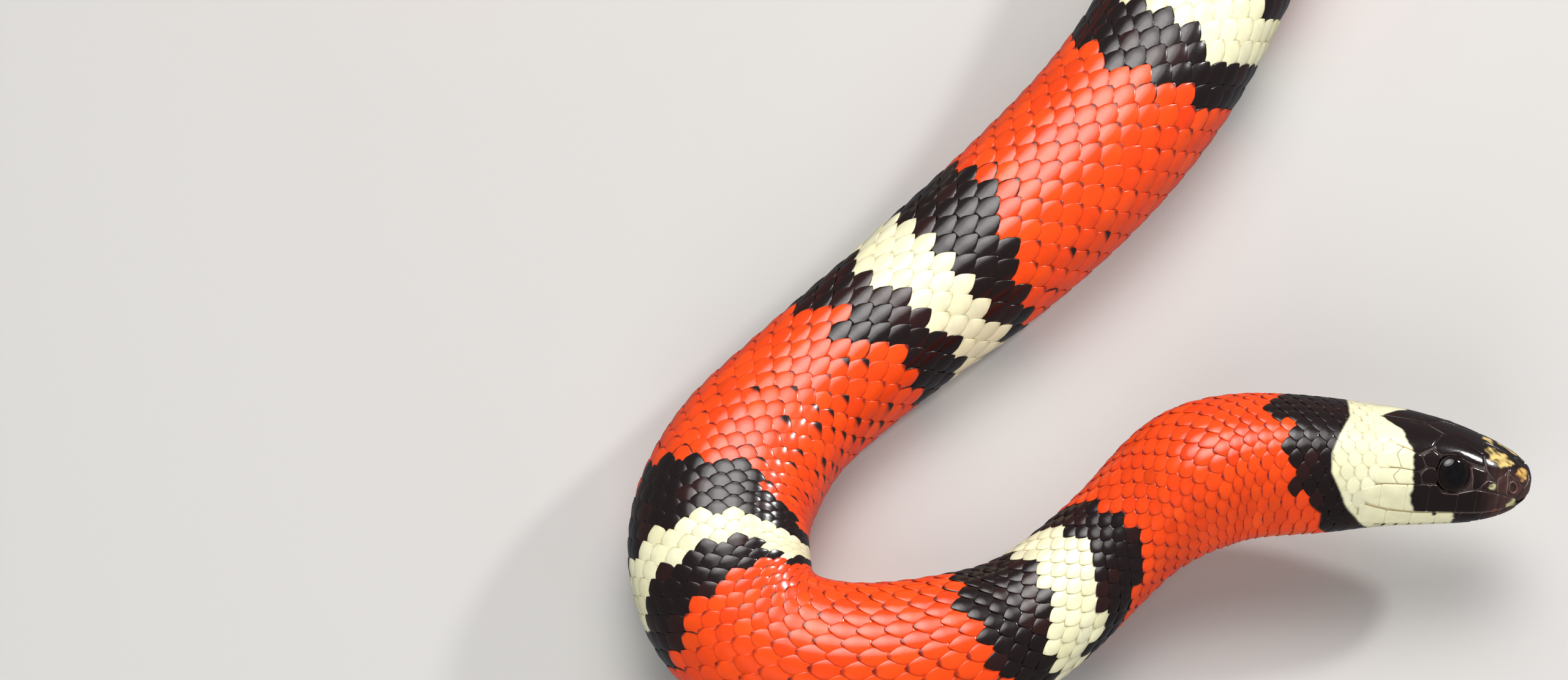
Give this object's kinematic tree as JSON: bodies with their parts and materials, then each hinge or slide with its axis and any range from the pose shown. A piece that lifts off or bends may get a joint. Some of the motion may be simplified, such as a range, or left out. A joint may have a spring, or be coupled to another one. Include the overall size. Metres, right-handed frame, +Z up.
{
  "type": "milk snake",
  "caption": "Life-size milk snake with red, black and cream bands, lying in loose coils with its head and neck held just off the ground.",
  "frame": {"origin": "middle of the coils' bounding box on the ground", "axes": "+Z up from the ground; +X the way the head faces, level; +Y from the head side towards the far coils"},
  "size_m": [0.3114, 0.3097, 0.0288],
  "materials": {
    "skin": "smooth glossy scales in red, black and cream bands",
    "eye": "polished near-black"
  },
  "bodies": {
    "root": {"head": "skin", "lower_jaw": "skin", "eye_left": "eye", "eye_right": "eye", "neck": "skin", "body_01": "skin", "body_02": "skin", "body_03": "skin", "body_04": "skin", "body_05": "skin", "body_06": "skin", "body_07": "skin", "body_08": "skin", "body_09": "skin", "body_10": "skin", "body_11": "skin", "tail": "skin", "tail_tip": "skin"}
  },
  "joints": []
}
